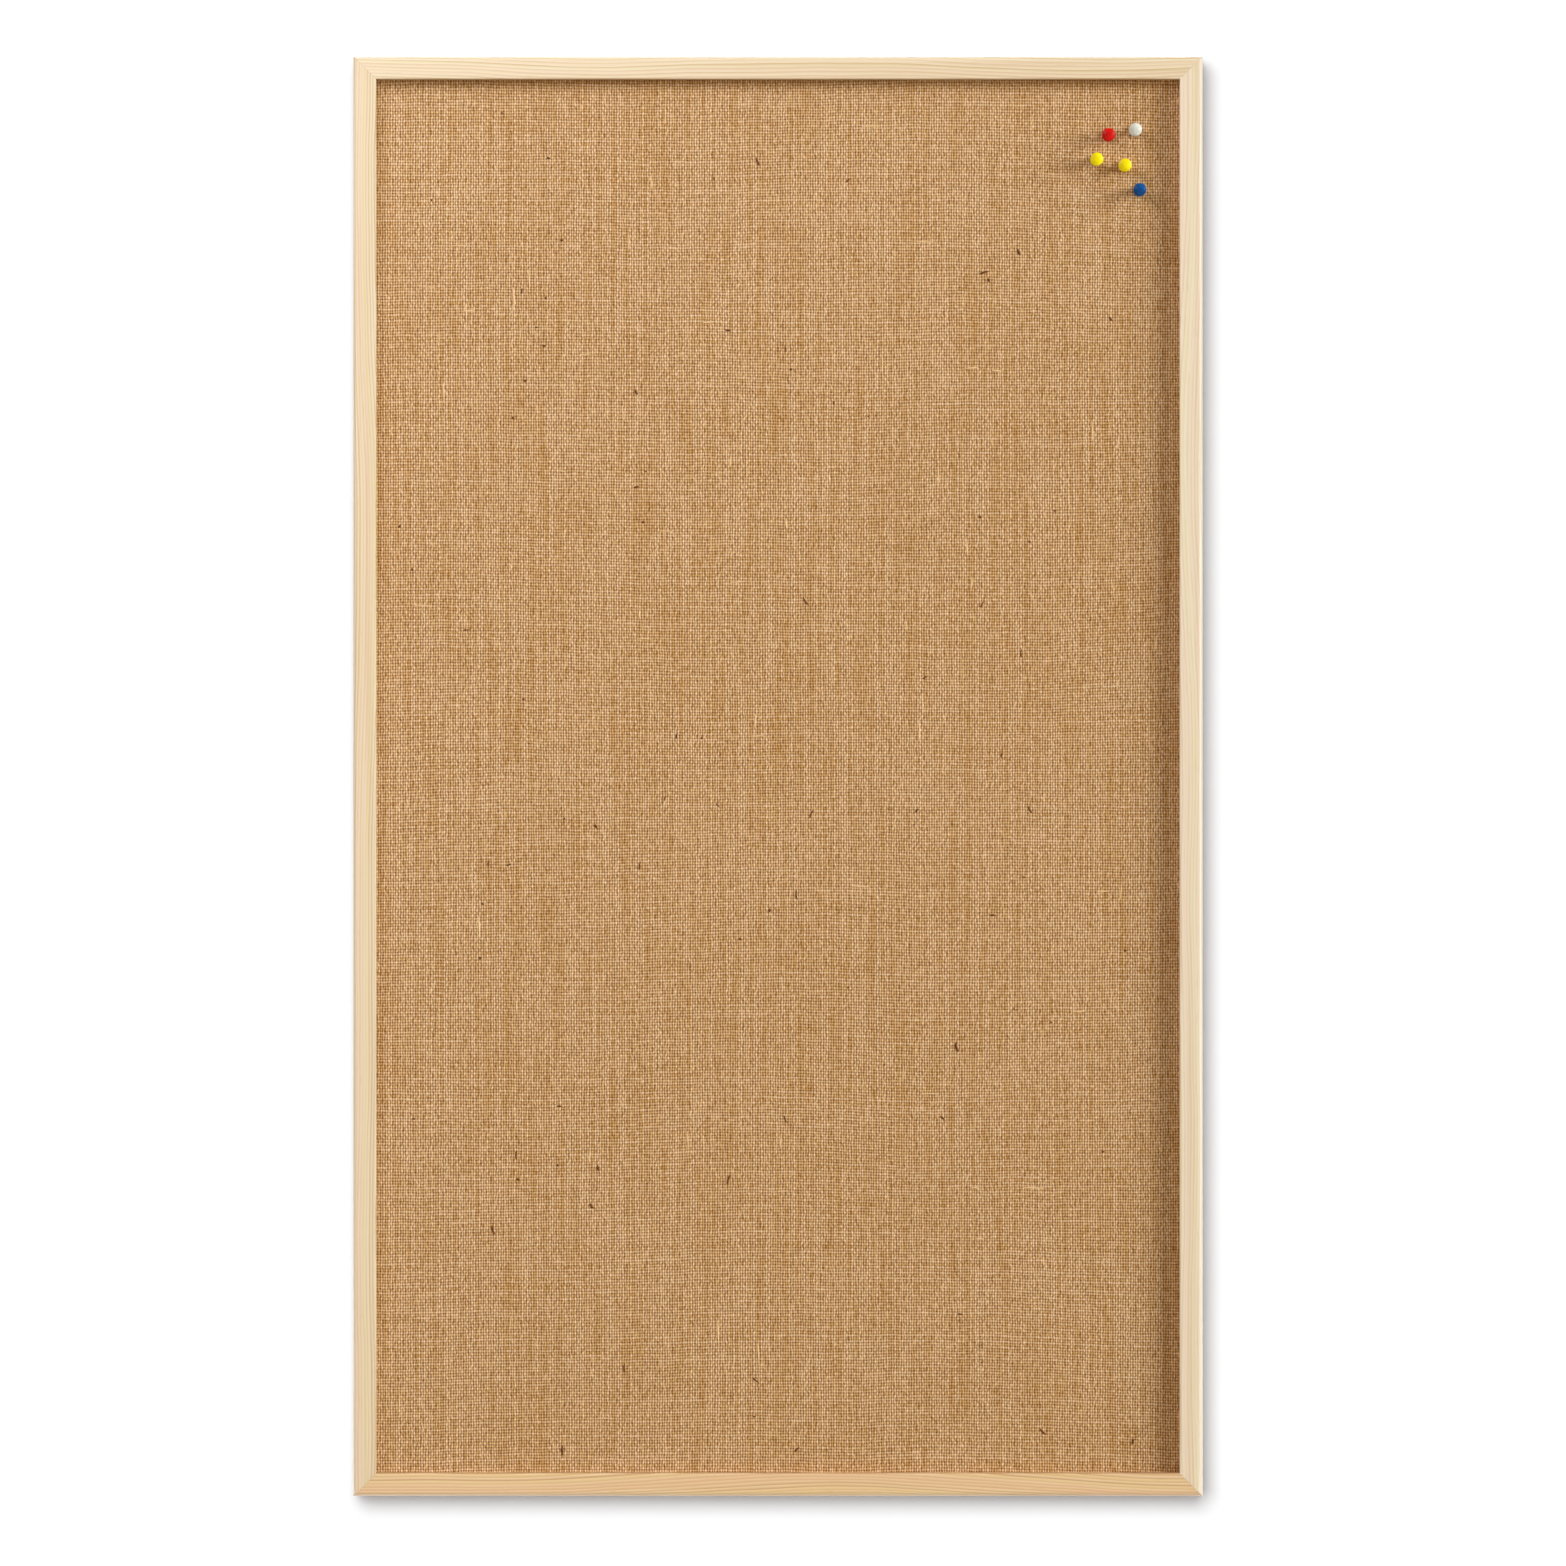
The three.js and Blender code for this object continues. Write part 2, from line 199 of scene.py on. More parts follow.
def setStops(ramp, stops):
    ramp.elements[0].position, ramp.elements[0].color = stops[0]
    ramp.elements[1].position, ramp.elements[1].color = stops[-1]
    for position, colour in stops[1:-1]:
        ramp.elements.new(position).color = colour


def newLook(name):
    material = bpy.data.materials.new(name)
    material.use_nodes = True
    return material, Look(material.node_tree)


def shade(*levels):  # screen levels 0 to 255 as a linear colour
    linear = [(n / 255 / 12.92) if n <= 10 else ((n / 255 + 0.055) / 1.055) ** 2.4 for n in levels]
    return (*linear, 1)


# Mesh helpers
def filleted(corners, closed=True, steps=6):  # corners are (x, y, radius)
    points = []
    count = len(corners)
    for i, (x, y, radius) in enumerate(corners):
        corner = Vector((x, y))
        if radius == 0 or (not closed and i in (0, count - 1)):
            points.append(corner)
            continue
        before = (Vector(corners[i - 1][:2]) - corner).normalized()
        after = (Vector(corners[(i + 1) % count][:2]) - corner).normalized()
        half = before.angle(after) / 2
        centre = corner + (before + after).normalized() * radius / math.sin(half)
        start = corner + before * radius / math.tan(half) - centre
        turn = math.pi - 2 * half
        if before.cross(after) > 0:
            turn = -turn
        for k in range(steps + 1):
            angle = turn * k / steps
            c, s = math.cos(angle), math.sin(angle)
            points.append(centre + Vector((start.x * c - start.y * s, start.x * s + start.y * c)))
    return points


def skin(shape, rings, closedRings=True, closedAlong=False):
    count = len(rings[0])
    pairs = list(zip(rings, rings[1:]))
    if closedAlong:
        pairs.append((rings[-1], rings[0]))
    for one, two in pairs:
        for i in range(count if closedRings else count - 1):
            j = (i + 1) % count
            shape.faces.new((one[i], one[j], two[j], two[i]))


def tidy(shape):
    bmesh.ops.remove_doubles(shape, verts=shape.verts, dist=1e-7)
    bmesh.ops.recalc_face_normals(shape, faces=shape.faces)
    return shape


def turned(profile, sides, centre):  # profile is (radius, depth), turned round an axis along Y
    shape = bmesh.new()
    rings = []
    for radius, depth in profile:
        ring = []
        for i in range(sides):
            angle = 2 * math.pi * i / sides
            ring.append(shape.verts.new(centre + Vector((
                radius * math.cos(angle), depth, radius * math.sin(angle)))))
        rings.append(ring)
    skin(shape, rings)
    return tidy(shape)


def asObject(name, shape):
    mesh = bpy.data.meshes.new(name)
    shape.to_mesh(mesh)
    shape.free()
    made = bpy.data.objects.new(name, mesh)
    scene.collection.objects.link(made)
    return made


def carve(target, cutters):  # takes the cutters' room out of the target's mesh
    for cutter in cutters:
        cut = target.modifiers.new("cut", "BOOLEAN")
        cut.operation = "DIFFERENCE"
        cut.solver = "EXACT"
        cut.object = cutter
    evaluated = target.evaluated_get(bpy.context.evaluated_depsgraph_get())
    carved = bpy.data.meshes.new_from_object(evaluated)
    target.modifiers.clear()
    target.data = carved
    for cutter in cutters:
        bpy.data.objects.remove(cutter)


def dress(piece, material, body, slot, stands=(), sharp=35):
    piece.data.materials.clear()
    piece.data.materials.append(material)
    for face in piece.data.polygons:
        face.use_smooth = True
    piece.data.set_sharp_from_angle(angle=math.radians(sharp))
    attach(piece, body)
    if stands:
        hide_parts(*stands)
    return piece


def redress(names, material):  # a better finish on a CAD node whose shape is right
    for name in names:
        node = frame["nodes"][name]
        node.material_slots[0].link = "OBJECT"
        node.material_slots[0].material = material


# Pine moulding
pine = {
    "ringSpacing": 2.4 * mm,
    "wander": 42 * mm,  # how far the grain drifts along a side
    "wave": 5 * mm,
    "pale": shade(237, 218, 186),
    "dark": shade(206, 171, 125),
    "pink": shade(236, 205, 175),
    "straw": shade(233, 213, 163),
    "rough": 0.2,
    "polish": 0.9,  # on the rounded outer edge
    "polishRough": 0.22,
    "polishWidth": 0.9 * mm,
    "outerRound": 3.5 * mm,
    "sightRound": 1.0 * mm,
    "easedEdge": 0.5 * mm,
    "rabbetEdge": 0.15 * mm,
    "stations": 60,
    "mitreGap": 0.06 * mm,
}
sides = {  # turns round the board, seed of the grain, how strong its rings show, and tone of the wood
    "top_rail": (0, 3.1, 0.85, (0.97, 0.99, 0.97, 1)),
    "right_stile": (1, 11.7, 0.55, (1.0, 1.04, 1.1, 1)),
    "bottom_rail": (2, 23.9, 1.55, (0.975, 0.852, 0.695, 1)),
    "left_stile": (3, 37.3, 1.1, (0.95, 0.95, 0.915, 1)),
}


def pineLook(name, seed, figure, tone):
    material, look = newLook("pine_" + name)
    along, depth, across = look.split(look.place())
    drift = look.noise(look.vector(along * 2.1 + seed, across * 8, depth * 8), 1, 1)
    ripple = look.noise(look.vector(along * 8 + seed, across * 40, depth * 40 + seed), 1, 2)
    bent = across + depth * 0.4 + (drift - 0.5) * pine["wander"] + (ripple - 0.5) * pine["wave"]
    rings = bent / pine["ringSpacing"] + seed
    late = rings.fraction() ** 2.5  # each ring darkens slowly and ends sharply
    strength = look.random(rings.floor() + seed)
    hue = look.random(rings.floor() + seed * 3)
    fibre = look.noise(look.vector(along * 7, depth * 700 + seed, across * 700), 1, 3)
    bands = look.noise(look.vector(along * 1.5 + seed, depth * 90, across * 190), 1, 2)
    pores = look.noise(look.vector(along * 60 + seed, depth * 1500, across * 1500), 1, 1)
    grain = look.smooth(late * (strength * 0.9 + 0.5) * figure + (bands - 0.5) * 1.0 + (fibre - 0.5) * 0.7 + 0.12, 0, 1)
    colour = look.mix(grain, pine["pale"], pine["dark"])
    colour = look.mix(look.smooth(hue, 0.45, 0.9) * 0.4, colour, pine["pink"])
    colour = look.mix(look.smooth(1 - hue, 0.6, 0.95) * 0.45, colour, pine["straw"])
    colour = look.mix(look.smooth(pores, 0.66, 0.78) * 0.3, colour, pine["dark"])
    colour = look.mix(1.0, colour, tone, "MULTIPLY")
    roundedEdge = across - depth + (boardLow.y + pine["outerRound"])  # above zero only there
    look.surface({
        "Base Color": colour,
        "Roughness": grain * 0.12 + pine["rough"],
        "Specular IOR Level": 0.45,
        "Coat Weight": look.smooth(roundedEdge, 0, pine["polishWidth"]) * pine["polish"],
        "Coat Roughness": pine["polishRough"],
        "Normal": look.bump(fibre * 0.6 + late * strength * 0.4, 0.25, 0.12 * mm),
    })
    return material


def railOutline(low, high, backWidth, lipBack):  # (in from the outer edge, depth)
    width, front, back = high, low, 0
    eased, tight = pine["easedEdge"], pine["rabbetEdge"]
    return filleted([
        (0, back, eased),
        (0, front, pine["outerRound"]),
        (width, front, pine["sightRound"]),
        (width, lipBack, tight),
        (backWidth, lipBack, tight),
        (backWidth, back, tight),
    ], steps=8)


boardLow = Vector((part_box("left_stile")[0].x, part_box("top_rail")[0].y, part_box("bottom_rail")[0].z))
boardHigh = Vector((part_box("right_stile")[1].x, 0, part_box("top_rail")[1].z))
boardMiddle = (boardLow + boardHigh) / 2
faceWidth = boardHigh.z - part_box("top_rail")[0].z
panelLow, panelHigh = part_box("burlap_cover")
seatGap = 0.3 * mm
panelClearance = 1 * mm
backWidth = boardHigh.x - panelHigh.x - panelClearance
lipBack = panelLow.y - seatGap


def nailRoom(nail):  # a V-nail's own form, drawn out through the back of the wood
    shape = bmesh.new()
    shape.from_mesh(frame["nodes"][nail].data)
    back = max(v.co.y for v in shape.verts)
    for v in shape.verts:
        if v.co.y > back - 0.01 * mm:
            v.co.y = 2 * mm
    return asObject("room_" + nail, shape)


def frameSide(name):
    turns, seed, figure, tone = sides[name]
    upright = turns % 2 == 1
    length = boardHigh.z - boardLow.z if upright else boardHigh.x - boardLow.x
    outward = (boardHigh.x - boardLow.x if upright else boardHigh.z - boardLow.z) / 2
    outline = railOutline(boardLow.y, faceWidth, backWidth, lipBack)
    shape = bmesh.new()
    rings = []
    for k in range(pine["stations"] + 1):
        share = 2 * k / pine["stations"] - 1
        ring = []
        for across, depth in outline:
            reach = length / 2 - across - pine["mitreGap"] / math.sqrt(2)
            ring.append(shape.verts.new((share * reach, depth, -across)))
        rings.append(ring)
    skin(shape, rings)
    shape.faces.new(rings[0])
    shape.faces.new(reversed(rings[-1]))
    side = asObject("pine_" + name, tidy(shape))
    turn = Matrix.Rotation(turns * math.pi / 2, 4, "Y")
    centre = Vector((boardMiddle.x, 0, boardMiddle.z))
    side.matrix_world = Matrix.Translation(centre) @ turn @ Matrix.Translation((0, 0, outward))
    bpy.context.view_layer.update()
    end = {"top_rail": "top_", "bottom_rail": "bottom_", "left_stile": "_left_", "right_stile": "_right_"}[name]
    nails = [node for node in frame["nodes"] if node.startswith("v_nail_") and end in node]
    carve(side, [nailRoom(nail) for nail in nails])
    return dress(side, pineLook(name, seed, figure, tone), "board", "pine", [name])


pineSides = [frameSide(name) for name in sides]
print("pine: 4 mitred sides")


# Burlap stretched over the soft core
burlap = {
    "warpPitch": 1.75 * mm,  # between upright threads
    "weftPitch": 2.008 * mm,  # between level threads
    "warpHalf": 0.37,  # half a thread's width, as a share of the pitch
    "weftHalf": 0.36,
    "warpDrift": 2 * mm,  # how far the threads bow across the board
    "weftDrift": 13 * mm,
    "crowding": 0.25,  # how far threads stray from even spacing, in pitches
    "warpWaver": 0.75,  # how far a thread wavers along its length, in pitches
    "weftWaver": 0.7,
    # painted shade: the holes between threads show the brown core, painted darker for the shade that falls in them
    "gapShade": shade(115, 63, 0),
    "shadeThread": shade(212, 161, 94),
    "paleThread": shade(252, 213, 168),
    "fold": 1.2 * mm,  # radius of the folded edge
    "turnIn": 25 * mm,
    "thickness": 0.9 * mm,
    "ripple": 0.12 * mm,  # unevenness of the stretched face
    "cellsAcross": 56,
    "cellsUp": 96,
}


def burlapLook():
    material, look = newLook("jute_burlap")
    place = look.place()
    across, depth, up = look.split(place)
    facingX, facingY, facingZ = look.split(look.place("Normal"))
    across = across + (depth - across) * facingX.size().over(0.7)  # the folded edges
    up = up + (depth - up) * facingZ.size().over(0.7)
    driftX, driftZ, driftTone = look.split(look.noise(place, 4, 1, "Color"))
    crowdX = look.noise(look.vector(across * 120, 3.3, up * 4), 1, 1)
    crowdZ = look.noise(look.vector(across * 9, 7.7, up * 120), 1, 1)
    warp = (across + (driftX - 0.5) * burlap["warpDrift"]) / burlap["warpPitch"] + (crowdX - 0.5) * burlap["crowding"]
    weft = (up + (driftZ - 0.5) * burlap["weftDrift"]) / burlap["weftPitch"] + (crowdZ - 0.5) * burlap["crowding"]
    weft = weft + (look.noise(look.vector(across * 45, 2.1, up * 18), 1, 1) - 0.5) * burlap["weftWaver"]
    warpNo, weftNo = warp.floor(), weft.floor()
    warpWaver = look.noise(look.vector(warpNo * 5.3, up * 230, 6.2), 1, 1)
    besideWarp = warp.fraction() - 0.5 + (warpWaver - 0.5) * burlap["warpWaver"]
    besideWeft = weft.fraction() - 0.5
    warpOwn = look.random(warpNo + 91.7) - look.random(warpNo + 90.7) * 0.6 + 0.3  # unlike its neighbour
    weftOwn = look.random(weftNo + 517.3) - look.random(weftNo + 516.3) * 0.6 + 0.3
    knot = look.node("ShaderNodeTexWhiteNoise", {"noise_dimensions": "2D"}, {"Vector": look.vector(warpNo, weftNo, 0)}, "Value")
    warpSwell = look.noise(look.vector(warpNo * 3.7, up * 210, 0), 1, 2)
    weftSwell = look.noise(look.vector(across * 210, weftNo * 3.7, 9.1), 1, 2)
    warpRun = look.noise(look.vector(warpNo * 6.1, up * 14, 3.3), 1, 1)  # a pale or dark length of yarn
    weftRun = look.noise(look.vector(across * 22, weftNo * 6.1, 7.7), 1, 1)
    warpHalf = burlap["warpHalf"] + (warpOwn - 0.5) * 0.08 + (warpSwell - 0.5) * 0.3
    weftHalf = burlap["weftHalf"] + (weftOwn - 0.5) * 0.06 + (weftSwell - 0.5) * 0.26
    warpRound = (1 - (besideWarp / warpHalf) ** 2).larger(0).root()
    weftRound = (1 - (besideWeft / weftHalf) ** 2).larger(0).root()
    crossing = ((warpNo + weftNo) % 2) * 2 - 1  # 1 where the upright thread lies on top
    warpLift = crossing * (besideWeft * math.pi).cosine() * 0.5 + 0.5
    weftLift = crossing * (besideWarp * math.pi).cosine() * -0.5 + 0.5
    warpHeight = warpRound * (warpLift * 0.5 + 0.5)
    weftHeight = weftRound * (weftLift * 0.52 + 0.42)
    height = warpHeight.larger(weftHeight)
    onTop = warpHeight.over(weftHeight)
    warpFibre = look.noise(look.vector(warp * 7 + up * 420, up * 110, 1.3), 1, 2)
    weftFibre = look.noise(look.vector(across * 110, weft * 7 + across * 420, 4.6), 1, 2)
    fibre = weftFibre + (warpFibre - weftFibre) * onTop
    warpTone = (warpOwn - 0.5) * 0.3 + (warpRun - 0.5) * 1.6 + (warpSwell - 0.5) * 0.5 + 0.1
    weftTone = (weftOwn - 0.5) * 0.25 + (weftRun - 0.5) * 0.5 + (weftSwell - 0.5) * 0.4 - 0.05
    tone = weftTone + (warpTone - weftTone) * onTop + (fibre - 0.5) * 1.1
    tone = tone + (driftTone - 0.5) * 0.08 + (knot - 0.5) * 0.2 + 0.5
    thread = look.mix(look.smooth(tone, 0, 1), burlap["shadeThread"], burlap["paleThread"])
    warpRidge = (besideWarp * (2 * math.pi)).cosine() * 0.5 + 0.5
    weftRidge = (besideWeft * (2 * math.pi)).cosine() * 0.5 + 0.5
    fleece = look.noise(look.vector(across * 560, 8.4, up * 460), 1, 1)
    # painted shade: each thread darkens towards its edges and where it dips under a crossing thread, fading into the
    # dark gap colour in the holes
    cover = warpRidge * 0.6 + weftRidge * 0.45 + (height - 0.6) * 0.35 + (fleece - 0.5) * 0.7 + 0.05
    cover = cover + (warpSwell - 0.5) * warpRidge * 0.45 + (weftSwell - 0.5) * weftRidge * 0.4
    # painted light and shade: crossings where the upright thread lies on top are lighter, those where the level thread
    # lies on top darker
    cover = cover + crossing * warpRidge * weftRidge * 0.1
    colour = look.mix((cover + 0.1) / 1.18, burlap["gapShade"], thread)
    look.surface({
        "Base Color": colour,
        "Roughness": 0.97 - height * 0.1,
        "Specular IOR Level": 0.02,
        "Normal": look.bump(height + (fibre - 0.5) * 0.25, 0.6, 0.4 * mm),
    })
    return material


def burlapShape():
    fold, thick, turnIn = burlap["fold"], burlap["thickness"], burlap["turnIn"]
    front, back = panelLow.y, panelHigh.y
    halfWidth = (panelHigh.x - panelLow.x) / 2 - fold
    halfHeight = (panelHigh.z - panelLow.z) / 2 - fold
    centre = (panelLow + panelHigh) / 2
    columns, rows = burlap["cellsAcross"], burlap["cellsUp"]
    shape = bmesh.new()

    def facePoint(i, k, depth, ripple):
        x = centre.x + halfWidth * (2 * i / columns - 1)
        z = centre.z + halfHeight * (2 * k / rows - 1)
        wave = noise.noise(Vector((x * 14, z * 9, 1.7))) + 0.6 * noise.noise(Vector((x * 40, z * 40, 5.2)))
        edge = min(i, columns - i, k, rows - k)
        return shape.verts.new((x, depth + ripple * wave * min(1, edge / 4), z))

    def face(depth, ripple):
        grid = [[facePoint(i, k, depth, ripple) for i in range(columns + 1)] for k in range(rows + 1)]
        for k in range(rows):
            for i in range(columns):
                shape.faces.new((grid[k][i], grid[k][i + 1], grid[k + 1][i + 1], grid[k + 1][i]))
        bottom, top = grid[0], grid[rows]
        rightEdge = [grid[k][columns] for k in range(rows + 1)]
        leftEdge = [grid[k][0] for k in range(rows + 1)]
        return bottom[:-1] + rightEdge[:-1] + top[:0:-1] + leftEdge[:0:-1]

    outer = face(front, burlap["ripple"])
    inner = face(front + thick, 0)
    path = filleted([  # out from the face's edge, depth: round the edge, along the turn-in and back inside
        (0, front, 0),
        (fold, front, fold * 0.98),
        (fold, back, fold * 0.98),
        (-turnIn, back, 0.1 * mm),
        (-turnIn, back - thick, 0.1 * mm),
        (fold - thick, back - thick, 0.2 * mm),
        (fold - thick, front + thick, 0.2 * mm),
        (0, front + thick, 0),
    ], closed=False, steps=4)[1:-1]
    rings = [outer]
    for out, depth in path:
        ring = []
        for v in outer:
            offX, offZ = v.co.x - centre.x, v.co.z - centre.z
            sideX = math.copysign(1, offX) if abs(offX) > halfWidth - 1e-6 else offX / halfWidth * (out < 0)
            sideZ = math.copysign(1, offZ) if abs(offZ) > halfHeight - 1e-6 else offZ / halfHeight * (out < 0)
            ring.append(shape.verts.new((v.co.x + sideX * out, depth, v.co.z + sideZ * out)))
        rings.append(ring)
    rings.append(inner)
    skin(shape, rings)
    return tidy(shape)


cover = asObject("burlap_sheet", burlapShape())
dress(cover, burlapLook(), "board", "burlap", ["burlap_cover"], sharp=80)
print("burlap: stretched sheet with turn-ins")


# Loose things in the weave: thick spots in the yarn, stray fibres and flecks of bark
strays = {
    "seed": 41,
    "slubs": 110,
    "fibres": 300,
    "flecks": 84,
    "margin": 20 * mm,  # from the edge of the burlap
    "pinRoom": 26 * mm,
}
chance = random.Random(strays["seed"])
pinNames = ["red", "white", "yellow_left", "yellow_right", "blue"]
pinSpots = []
for name in pinNames:
    low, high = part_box(name + "_pin_grip")
    pinSpots.append(Vector(((low.x + high.x) / 2, 0, (low.z + high.z) / 2)))


def spot():
    while True:
        x = chance.uniform(panelLow.x + strays["margin"], panelHigh.x - strays["margin"])
        z = chance.uniform(panelLow.z + strays["margin"], panelHigh.z - strays["margin"])
        here = Vector((x, 0, z))
        if all((here - pin).length > strays["pinRoom"] for pin in pinSpots):
            return here


def strand(shape, points, radii, sides, thick=1):
    rings = []
    for i, point in enumerate(points):
        along = (points[min(i + 1, len(points) - 1)] - points[max(i - 1, 0)]).normalized()
        beside = along.cross(Vector((0, 1, 0))).normalized()
        ring = []
        for k in range(sides):
            angle = 2 * math.pi * k / sides
            offset = beside * math.cos(angle) + Vector((0, math.sin(angle) * thick, 0))
            ring.append(shape.verts.new(point + offset * radii[i]))
        rings.append(ring)
    skin(shape, rings)
    shape.faces.new(rings[0])
    shape.faces.new(reversed(rings[-1]))


def slubs():
    shape = bmesh.new()
    for _ in range(strays["slubs"]):
        middle = spot()
        upright = chance.random() < 0.72
        half = chance.uniform(3, 11) * mm
        fat = chance.uniform(0.34, 0.58) * mm
        points, radii = [], []
        for k in range(9):
            share = k / 4 - 1
            sway = 0.25 * mm * math.sin(share * 3 + half * 900)
            shift = Vector((sway, 0, share * half)) if upright else Vector((share * half, 0, sway))
            radii.append(fat * max(0.12, (1 - share * share)))
            points.append(middle + shift + Vector((0, panelLow.y + 0.22 * mm, 0)))
        strand(shape, points, radii, 8)
    return asObject("yarn_slubs", tidy(shape))


def fibres():
    shape = bmesh.new()
    for _ in range(strays["fibres"]):
        start = spot() + Vector((0, panelLow.y - 0.03 * mm, 0))
        heading = chance.uniform(0, 2 * math.pi)
        bend = chance.uniform(-0.35, 0.35)
        stride = chance.uniform(0.7, 1.9) * mm
        points = [start]
        for k in range(6):
            heading += bend
            lift = -0.14 * mm * math.sin(math.pi * (k + 1) / 6)
            step = Vector((math.cos(heading), 0, math.sin(heading))) * stride
            points.append(Vector((points[-1].x + step.x, start.y + lift, points[-1].z + step.z)))
        strand(shape, points, [0.055 * mm] * 7, 4)
    return asObject("loose_fibres", tidy(shape))


def flecks():
    shape = bmesh.new()
    for _ in range(strays["flecks"]):
        middle = spot() + Vector((0, panelLow.y, 0))
        half = (0.8 + 2.8 * chance.random() ** 2) * mm
        fat = chance.uniform(0.5, 1.05) * mm
        lean = chance.gauss(0, 0.5) + (math.pi / 2 if chance.random() < 0.7 else 0)
        points, radii = [], []
        for k in range(6):
            share = k / 2.5 - 1
            bend = 0.2 * half * share * share
            points.append(middle + Vector((
                math.cos(lean) * share * half + bend, 0, math.sin(lean) * share * half)))
            radii.append(fat * max(0.25, math.sqrt(1 - 0.9 * share * share)) * chance.uniform(0.75, 1.1))
        strand(shape, points, radii, 7, 0.6)
    return asObject("bark_flecks", tidy(shape))


def strandLook(name, pale, dark, scale):
    material, look = newLook(name)
    place = look.place()
    streak = look.noise(place, scale, 3)
    patch = look.noise(place, 60, 1)
    colour = look.mix(look.smooth(streak * 0.7 + patch * 0.3, 0.3, 0.7), dark, pale)
    look.surface({
        "Base Color": colour,
        "Roughness": 0.95 - streak * 0.15,
        "Specular IOR Level": 0.2,
        "Normal": look.bump(streak, 0.5, 0.15 * mm),
    })
    return material


slubPiece = dress(slubs(), strandLook("slub_yarn", shade(246, 210, 160), shade(218, 175, 124), 1800), "board", "burlap", sharp=80)
fibrePiece = dress(fibres(), strandLook("jute_fibre", shade(244, 214, 172), shade(214, 170, 120), 900), "board", "burlap", sharp=80)
fleckPiece = dress(flecks(), strandLook("jute_bark", shade(128, 78, 38), shade(74, 43, 18), 1400), "board", "burlap", sharp=80)
coverWidth = panelHigh.x - panelLow.x + 2 * (panelHigh.y - panelLow.y + burlap["turnIn"])
coverLength = panelHigh.z - panelLow.z + 2 * (panelHigh.y - panelLow.y + burlap["turnIn"])
print("burlap: slubs, fibres and flecks")


# Push pins
pushPin = {
    "height": 12 * mm,
    "head": 4.5 * mm,
    "headThickness": 2.4 * mm,
    "dome": 1.0 * mm,
    "collar": 4.1 * mm,
    "collarThickness": 1.6 * mm,
    "neck": 2.2 * mm,
    "rim": 0.55 * mm,
    "gate": 1.0 * mm,  # moulding mark in the middle of the head
    "gateDepth": 0.16 * mm,
    "sides": 48,
    "needle": 0.55 * mm,
    "needleTip": 3 * mm,
    "colours": {
        "red": (shade(220, 14, 2), shade(190, 6, 0)),
        "white": (shade(224, 220, 205), shade(206, 203, 190)),
        "yellow": (shade(252, 230, 2), shade(240, 208, 0)),
        "blue": (shade(0, 78, 142), shade(0, 58, 114)),
    },
}


def plasticLook(name, main, deep):
    material, look = newLook(name + "_moulded_plastic")
    place = look.place()
    swirl = look.noise(place, 260, 3)
    skinMarks = look.noise(place, 2600, 2)
    look.surface({
        "Base Color": look.mix(look.smooth(swirl, 0.35, 0.7), main, deep),
        "Roughness": swirl * 0.1 + skinMarks * 0.06 + 0.24,
        "Specular IOR Level": 0.16,
        "Normal": look.bump(skinMarks, 0.05, 0.08 * mm),
    })
    return material


def needleLook():
    material, look = newLook("needle_steel")
    place = look.place()
    x, y, z = look.split(place)
    drawn = look.noise(look.vector(x * 5000, y * 200, z * 5000), 1, 2)
    look.surface({
        "Base Color": look.mix(drawn, shade(196, 198, 200), shade(226, 227, 228)),
        "Metallic": 1.0,
        "Roughness": drawn * 0.15 + 0.16,
        "Normal": look.bump(drawn, 0.1, 0.02 * mm),
    })
    return material


def gripProfile():
    height, head, dome = pushPin["height"], pushPin["head"], pushPin["dome"]
    collar, neck, rim = pushPin["collar"], pushPin["neck"], pushPin["rim"]
    headBase = height - pushPin["headThickness"]
    shoulder = height - dome
    side = filleted([
        (0, 0, 0),
        (collar, 0, rim),
        (collar, pushPin["collarThickness"], rim),
        (neck, pushPin["collarThickness"], 1.3 * mm),
        (neck, headBase, 1.3 * mm),
        (head, headBase, rim * 0.7),
        (head, shoulder, rim * 1.2),
        (0, shoulder, 0),
    ], closed=False, steps=7)
    profile = [(p.x, p.y) for p in side[:-1]]
    edge = profile[-1][0]
    for k in range(1, 19):
        radius = edge * (1 - k / 18)
        share = radius / edge
        mark = 0.5 + 0.5 * math.cos(math.pi * min(1, radius / pushPin["gate"]))
        profile.append((radius, shoulder + dome * (1 - share * share) - pushPin["gateDepth"] * mark))
    return profile


plastics = {name: plasticLook(name, *pair) for name, pair in pushPin["colours"].items()}
needleSteel = needleLook()
for name in pinNames:
    colour = name.split("_")[0]
    low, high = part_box(name + "_pin_grip")
    centre = Vector(((low.x + high.x) / 2, high.y, (low.z + high.z) / 2))
    grip = turned([(radius, -rise) for radius, rise in gripProfile()], pushPin["sides"], centre)
    dress(asObject(name + "_grip", grip), plastics[colour], name + "_pin", colour + "_plastic",
          [name + "_pin_grip"], sharp=50)
    needleLow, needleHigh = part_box(name + "_pin_needle")
    top, tip = needleLow.y - high.y, needleHigh.y - high.y
    thin = pushPin["needle"]
    profile = [(0, top), (thin * 0.9, top), (thin, top + 0.1 * mm), (thin, tip - pushPin["needleTip"])]
    for k in range(1, 7):
        share = k / 6
        profile.append((thin * (1 - share) ** 0.8, tip - pushPin["needleTip"] * (1 - share)))
    needle = turned(profile, 24, centre)
    dress(asObject(name + "_needle", needle), needleSteel, name + "_pin", "steel", [name + "_pin_needle"])
print("push pins:", len(pinNames))


# Back of the board
backing = {
    "mesh": 1.3 * mm,  # screen marks on the rough face of the hardboard
    "pale": shade(158, 117, 80),
    "dark": shade(112, 78, 50),
}


